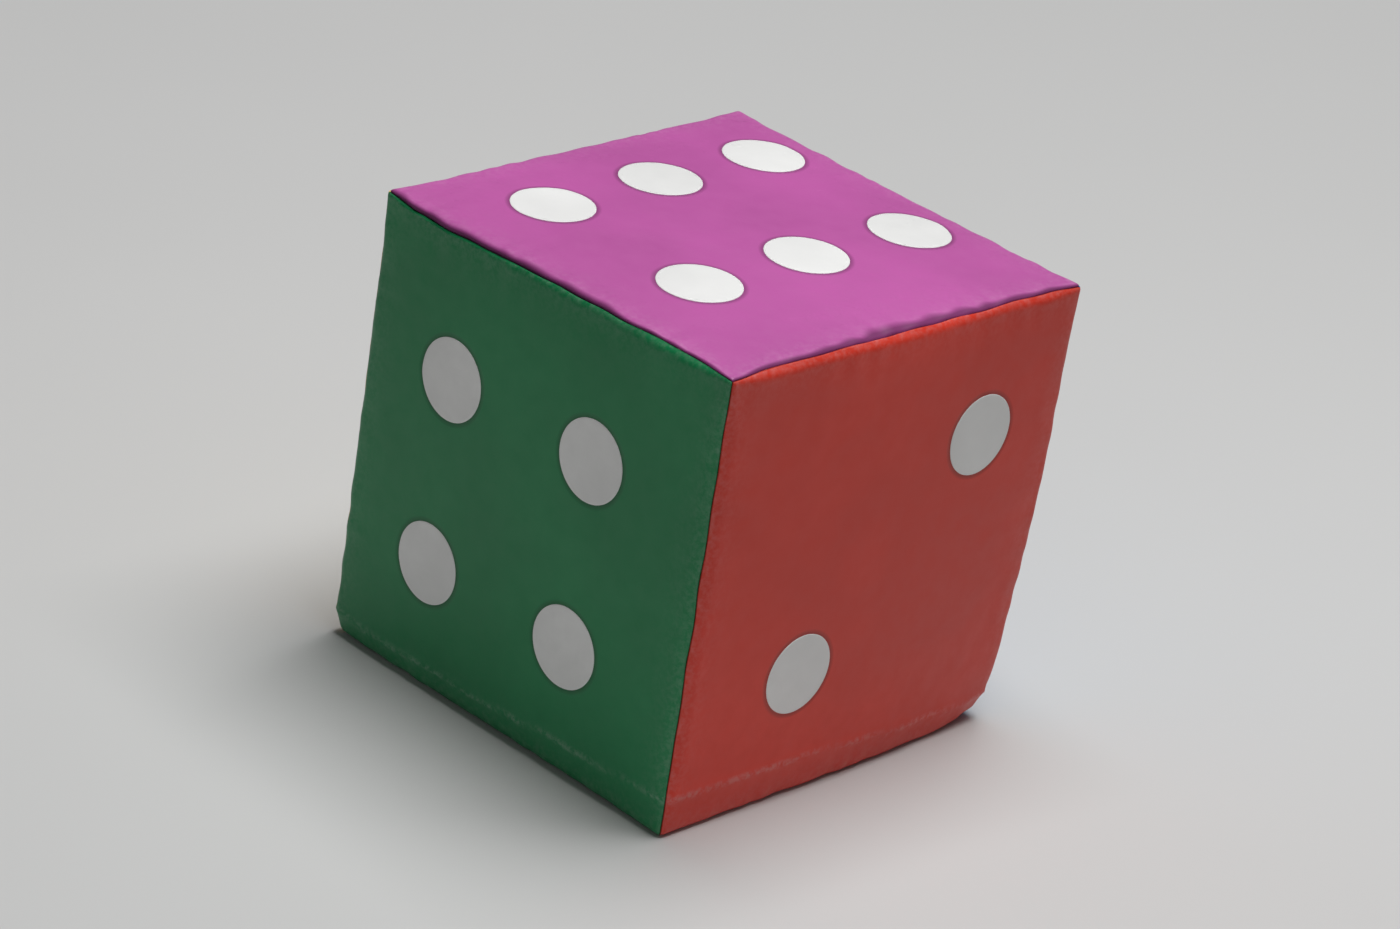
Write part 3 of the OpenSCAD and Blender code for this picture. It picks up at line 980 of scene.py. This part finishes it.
def coil_turn(theta):
    """Cross-section of the coil: a squared oval, across and out from its middle, and the wire's radius."""
    across = np.sign(np.cos(theta)) * np.abs(np.cos(theta)) ** 0.75 * (COIL_WIDTH / 2 - COIL_WIRE)
    out = np.sign(np.sin(theta)) * np.abs(np.sin(theta)) ** 0.75 * (COIL_HEIGHT / 2 - COIL_WIRE)
    head = smooth(-np.cos(theta) * 2 - 1)
    return across, out, COIL_WIRE * (0.92 + 0.12 * head)


def wedge_share(z, slider_z):
    """How far the slider's wedge parts the rows at each height, 0 to 1, for the slider's own height."""
    return np.clip((z - slider_z - WEDGE_LOW) / WEDGE_LENGTH, 0, 1)


def make_coil(side, material, node):
    """One row of a coil zip: a wound monofilament that meshes with the other row, parted above the slider.

    It is split at the wedge's place when the slider is down: what is under it stays meshed in every pose."""
    lo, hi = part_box(node)
    low = lo.z - HALF + COIL_WIRE
    high = hi.z - HALF - COIL_WIRE
    turns = int((high - low) / COIL_PITCH)
    steps_per_turn = 16
    theta = np.arange(turns * steps_per_turn + 1) * 2 * math.pi / steps_per_turn
    z = low + COIL_PITCH * theta / (2 * math.pi)
    across, out, radius = coil_turn(theta)
    middle = COIL_WIDTH / 2 - COIL_OVERLAP
    parted = WEDGE_PARTING * wedge_share(z, SLIDER_Z)
    place = zip_point(side * (middle + parted + across), TAPE_TOP + COIL_HEIGHT / 2 + out, z)
    section = np.rint(COIL_SECTIONS * wedge_share(z, SLIDER_Z - SLIDER_TRAVEL))
    for number in range(COIL_SECTIONS + 1):
        inside = np.where(section == number)[0]
        span = slice(inside[0], inside[-1] + 2)
        verts, faces = bar(place[span], radius[span], UP, sides=7)
        ending = f"_low_{number}" if number < COIL_SECTIONS else ""
        obj = mesh_object(node.replace("zip_", "wound_") + ending, stand(verts), faces)
        parts_with_slider(piece(obj, material, node, "zip_coil"), side)


def make_metal(name, node, body, material):
    """A metal part with the shape of its CAD node and its sharp edges rounded over."""
    obj = bpy.data.objects.new(name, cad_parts[node].data.copy())
    bpy.context.scene.collection.objects.link(obj)
    mesh = bmesh.new()
    mesh.from_mesh(obj.data)
    bmesh.ops.remove_doubles(mesh, verts=mesh.verts, dist=0.005 * MM)
    bmesh.ops.dissolve_limit(mesh, angle_limit=math.radians(1), verts=mesh.verts, edges=mesh.edges)
    mesh.to_mesh(obj.data)
    mesh.free()
    obj.data.polygons.foreach_set("use_smooth", [True] * len(obj.data.polygons))
    rounding = obj.modifiers.new("rounding", "BEVEL")
    rounding.width = 0.12 * MM
    rounding.segments = 2
    rounding.limit_method = "ANGLE"
    rounding.angle_limit = math.radians(35)
    rounding.harden_normals = True
    return piece(obj, material, node, "zip_metal", body)


# ---------- materials ----------

BACKDROP = (0.60, 0.60, 0.595, 1)


def shader_node(tree, kind, inputs=None, **settings):
    """Adds a node, sets its properties, and sets or links its inputs."""
    made = tree.nodes.new("ShaderNode" + kind)
    for name, value in settings.items():
        setattr(made, name, value)
    for name, value in (inputs or {}).items():
        if isinstance(value, bpy.types.NodeSocket):
            tree.links.new(value, made.inputs[name])
        else:
            made.inputs[name].default_value = value
    return made


def noise(tree, scale, detail=2.0, roughness=0.5, stretch=(1, 1, 1)):
    """Noise over the object's own coordinates, in cycles to the metre."""
    place = shader_node(tree, "TexCoord").outputs["Object"]
    place = shader_node(tree, "Mapping", {"Vector": place, "Scale": stretch}).outputs["Vector"]
    inputs = {"Vector": place, "Scale": scale, "Detail": detail, "Roughness": roughness}
    return shader_node(tree, "TexNoise", inputs).outputs["Fac"]


def ranged(tree, value, low, high, to_low=0.0, to_high=1.0):
    inputs = {"Value": value, "From Min": low, "From Max": high, "To Min": to_low, "To Max": to_high}
    return shader_node(tree, "MapRange", inputs).outputs["Result"]


def math_node(tree, operation, a, b):
    return shader_node(tree, "Math", {0: a, 1: b}, operation=operation).outputs[0]


def mixed(tree, factor, a, b):
    """Colour between a and b. Each may be a colour or a socket."""
    a, b = (c if isinstance(c, bpy.types.NodeSocket) else (*c, 1) for c in (a, b))
    return shader_node(tree, "Mix", {0: factor, 6: a, 7: b}, data_type="RGBA").outputs[2]


def bumped(tree, height, distance, strength=1.0, under=None):
    inputs = {"Height": height, "Distance": distance, "Strength": strength}
    if under is not None:
        inputs["Normal"] = under
    return shader_node(tree, "Bump", inputs).outputs["Normal"]


def attribute(tree, name):
    """A value stored on the mesh, 0 where the mesh has none."""
    return shader_node(tree, "Attribute", attribute_name=name).outputs["Fac"]


def new_material(name):
    material = bpy.data.materials.new(name)
    material.use_nodes = True
    tree = material.node_tree
    return material, tree, tree.nodes["Principled BSDF"]


def connect(tree, shader, **inputs):
    """Sets or links inputs of the main shader. An underscore in a name stands for a space."""
    for name, value in inputs.items():
        socket = shader.inputs[name.replace("_", " ")]
        if isinstance(value, bpy.types.NodeSocket):
            tree.links.new(value, socket)
        else:
            socket.default_value = value


def shade(color, factor):
    return tuple(min(1.0, c * factor) for c in color)


def weld_ring_and_shade(tree, face):
    """1 at the rim of each pip on a panel, falling to 0 just outside it: the band of painted shade and of the
    weld's dip.
    """
    place = shader_node(tree, "TexCoord").outputs["Object"]
    nearest = None
    for cx, cy in pip_centres(face):
        middle = stand(skin(face, np.array([cx]), np.array([cy]))[0][0])
        inputs = {0: place, 1: tuple(middle)}
        distance = shader_node(tree, "VectorMath", inputs, operation="DISTANCE").outputs["Value"]
        nearest = distance if nearest is None else math_node(tree, "MINIMUM", nearest, distance)
    return ranged(tree, nearest, PIP_RADIUS + 0.5 * MM, PIP_RADIUS + 2.3 * MM, 1, 0)


def vinyl_material(name, color, face=None):
    """PVC-coated fabric: satin, finely grained, uneven in tone, pale where rubbed, with painted shade in its
    seams and round its pips.
    """
    material, tree, shader = new_material(name)
    broad = ranged(tree, noise(tree, 13, 3), 0.35, 0.65)
    close = ranged(tree, noise(tree, 130, 3, 0.6), 0.3, 0.7)
    tone = mixed(tree, broad, shade(color, 0.90), shade(color, 1.07))
    tone = mixed(tree, math_node(tree, "MULTIPLY", close, 0.35), tone, shade(color, 0.9))
    scuffs = ranged(tree, noise(tree, 420, 4, 0.65), 0.4, 0.75)
    groove_shade = attribute(tree, "groove_shade")
    open_share = ranged(tree, groove_shade, 0, 0.3, 1, 0)
    scuffed = math_node(tree, "MULTIPLY", attribute(tree, "rubbed"), scuffs)
    rubbed = math_node(tree, "MULTIPLY", scuffed, open_share)
    pale = tuple(0.72 * c + 0.28 * 0.8 for c in color)
    tone = mixed(tree, ranged(tree, rubbed, 0, 1, 0, 0.6), tone, pale)
    # Painted shade: the colour darkens down in the seam grooves
    tone = mixed(tree, ranged(tree, groove_shade, 0, 0.55, 0, 0.85), tone, shade(color, 0.3))
    grain = noise(tree, 1700, 2, 0.5)
    swell = noise(tree, 95, 2, 0.4)
    normal = bumped(tree, swell, 0.5 * MM, 0.25)
    normal = bumped(tree, grain, 0.05 * MM, 0.35, normal)
    if face:
        ring = weld_ring_and_shade(tree, face)
        # Painted shade round each pip's rim, and a slight dip in the bump where the weld presses the vinyl
        tone = mixed(tree, math_node(tree, "MULTIPLY", ring, 0.55), tone, shade(color, 0.25))
        normal = bumped(tree, math_node(tree, "MULTIPLY", ring, -1.0), 0.15 * MM, 0.8, normal)
    gloss = ranged(tree, close, 0, 1, 0.36, 0.47)
    gloss = math_node(tree, "ADD", gloss, math_node(tree, "MULTIPLY", rubbed, 0.15))
    # Less specular in the painted groove shade, so that it stays dark
    shine = ranged(tree, groove_shade, 0, 0.5, 0.42, 0.12)
    connect(tree, shader, Base_Color=tone, Roughness=gloss, Normal=normal, Specular_IOR_Level=shine)
    return material


def foam_material():
    """Open-cell foam: cream, matt and full of small pores."""
    material, tree, shader = new_material("foam_cream")
    pores = ranged(tree, noise(tree, 1400, 3, 0.6), 0.35, 0.6)
    tone = mixed(tree, pores, (0.62, 0.55, 0.36), (0.85, 0.79, 0.60))
    normal = bumped(tree, pores, 0.3 * MM, 0.8)
    connect(tree, shader, Base_Color=tone, Roughness=0.95, Normal=normal)
    return material


def thread_material():
    """Polyester thread: dark, with a fine twist."""
    material, tree, shader = new_material("thread_charcoal")
    twist = noise(tree, 2600, 1, 0.5, (1, 1, 0.4))
    tone = mixed(tree, twist, (0.02, 0.02, 0.024), (0.075, 0.075, 0.085))
    normal = bumped(tree, twist, 0.08 * MM, 0.8)
    connect(tree, shader, Base_Color=tone, Roughness=0.6, Normal=normal, Sheen_Weight=0.2)
    return material


def tape_material():
    """Woven polyester tape: a small herringbone of raised warp threads."""
    material, tree, shader = new_material("tape_weave")
    place = shader_node(tree, "TexCoord").outputs["Object"]
    bands = []
    for turn in (40, -40):
        inputs = {"Vector": place, "Rotation": (0, 0, 0), "Scale": (1, 1, math.tan(math.radians(turn)))}
        slanted = shader_node(tree, "Mapping", inputs).outputs["Vector"]
        inputs = {"Vector": slanted, "Scale": 420.0, "Distortion": 0.3}
        bands.append(shader_node(tree, "TexWave", inputs, bands_direction="DIAGONAL").outputs["Fac"])
    weave = math_node(tree, "MULTIPLY", bands[0], bands[1])
    tone = mixed(tree, weave, (0.012, 0.012, 0.014), (0.05, 0.05, 0.055))
    normal = bumped(tree, weave, 0.1 * MM, 0.8)
    connect(tree, shader, Base_Color=tone, Roughness=0.85, Normal=normal, Sheen_Weight=0.3)
    return material


def coil_material():
    """Nylon monofilament: black and slightly glossy."""
    material, tree, shader = new_material("coil_nylon")
    tone = mixed(tree, noise(tree, 300, 2), (0.030, 0.030, 0.032), (0.055, 0.055, 0.06))
    connect(tree, shader, Base_Color=tone, Roughness=0.33, Coat_Weight=0.2)
    return material


def metal_material():
    """Nickel plate: bright, with fine scratches and handling marks."""
    material, tree, shader = new_material("zip_nickel")
    scratches = noise(tree, 900, 4, 0.7, (1, 1, 0.15))
    tone = mixed(tree, noise(tree, 260, 3), (0.60, 0.59, 0.57), (0.74, 0.73, 0.71))
    gloss = ranged(tree, scratches, 0.3, 0.7, 0.2, 0.38)
    normal = bumped(tree, scratches, 0.02 * MM, 0.4)
    connect(tree, shader, Base_Color=tone, Metallic=1.0, Roughness=gloss, Normal=normal)
    return material


def camera_ray(tree):
    """1 for what the camera sees itself, 0 for light that bounces."""
    return shader_node(tree, "LightPath").outputs["Is Camera Ray"]


def seen_by_camera(tree, share, plain, backdrop, output):
    """Lets a share of the backdrop show in place of a plain shader."""
    blend = shader_node(tree, "MixShader", {0: share, 1: plain.outputs[0], 2: backdrop.outputs[0]})
    tree.links.new(blend.outputs[0], tree.nodes[output].inputs["Surface"])


def floor_material():
    """Plain pale floor, which the camera sees melt into the backdrop away from the dice."""
    material, tree, shader = new_material("floor_pale")
    tone = mixed(tree, noise(tree, 3, 2), (0.60, 0.60, 0.595), (0.63, 0.63, 0.625))
    connect(tree, shader, Base_Color=tone, Roughness=0.75)
    place = shader_node(tree, "TexCoord").outputs["Object"]
    distance = shader_node(tree, "VectorMath", {0: place}, operation="LENGTH").outputs["Value"]
    share = math_node(tree, "MULTIPLY", ranged(tree, distance, 0.5, 1.9), camera_ray(tree))
    backdrop = shader_node(tree, "Emission", {"Color": BACKDROP})
    seen_by_camera(tree, share, shader, backdrop, "Material Output")
    return material


# ---------- the dice ----------

GRIDS = face_grids(*simulate_cover())

PANEL_COLORS = {
    "one": ("vinyl_pink", (0.80, 0.12, 0.27)),
    "two": ("vinyl_orange", (0.70, 0.042, 0.022)),
    "three": ("vinyl_blue", (0.010, 0.20, 0.60)),
    "four": ("vinyl_green", (0.006, 0.215, 0.070)),
    "five": ("vinyl_yellow", (0.80, 0.55, 0.12)),
    "six": ("vinyl_purple", (0.51, 0.103, 0.37)),
}
white = vinyl_material("vinyl_white", (0.83, 0.83, 0.82))
for face, (slot, color) in PANEL_COLORS.items():
    make_panel(face, vinyl_material(slot, color, face), slot)
    make_pips(face, white)

make_foam(foam_material())
thread = thread_material()
make_seam_thread(thread)
make_topstitch(thread)
make_bar_tacks(thread)
tape = tape_material()
make_tape(-1, tape, "zip_tape_left")
make_tape(1, tape, "zip_tape_right")
coil = coil_material()
make_coil(-1, coil, "zip_coil_left")
make_coil(1, coil, "zip_coil_right")
metal = metal_material()
make_metal("slider_body", "zip_slider", "zip_slider", metal)
make_metal("pull_tab", "zip_pull", "zip_pull", metal)
make_metal("top_stops", "zip_top_stops", "cover", metal)
make_metal("bottom_stop", "zip_bottom_stop", "cover", metal)


# ---------- stage, light and camera ----------

def make_floor():
    """Square floor that reaches well past what the camera sees."""
    reach = 4.0
    verts = [(-reach, -reach, 0), (reach, -reach, 0), (reach, reach, 0), (-reach, reach, 0)]
    floor = mesh_object("floor", verts, [(0, 1, 2, 3)], shaded=False)
    floor.data.materials.append(floor_material())


def add_softbox(name, place, size, power):
    """A square area light that faces the dice."""
    light = bpy.data.lights.new(name, "AREA")
    light.size = size
    light.energy = power
    obj = bpy.data.objects.new(name, light)
    obj.location = place
    obj.rotation_euler = (Vector((0, 0, HALF)) - Vector(place)).to_track_quat("-Z", "Y").to_euler()
    bpy.context.scene.collection.objects.link(obj)


def add_world(strength):
    """Weak even light from all round; the camera itself sees the pale backdrop."""
    world = bpy.data.worlds.new("studio")
    world.use_nodes = True
    tree = world.node_tree
    light = tree.nodes["Background"]
    light.inputs["Color"].default_value = (1, 1, 1, 1)
    light.inputs["Strength"].default_value = strength
    backdrop = shader_node(tree, "Background", {"Color": BACKDROP})
    seen_by_camera(tree, camera_ray(tree), light, backdrop, "World Output")
    bpy.context.scene.world = world


def add_camera():
    """The photograph's viewpoint, 2.2 m away and turned a little about its own axis."""
    place = Vector((1.318, -1.461, 1.012))
    aim = Vector((0.0, 0.0, 0.098))
    lens_mm = 136.5
    sensor_mm = 36
    roll = math.radians(8.97)
    camera = bpy.data.cameras.new("camera")
    camera.lens = lens_mm
    camera.sensor_width = sensor_mm
    obj = bpy.data.objects.new("camera", camera)
    look = (aim - place).to_track_quat("-Z", "Y").to_matrix().to_4x4()
    obj.matrix_world = Matrix.Translation(place) @ look @ Matrix.Rotation(roll, 4, "Z")
    bpy.context.scene.collection.objects.link(obj)
    bpy.context.scene.camera = obj


make_floor()
add_world(strength=0.05)
add_softbox("overhead", place=(0.08, 0.36, 2.1), size=1.3, power=46)
add_softbox("front_fill", place=(1.35, -2.1, 0.9), size=1.4, power=5)
bpy.context.scene.view_settings.view_transform = "Standard"
add_camera()
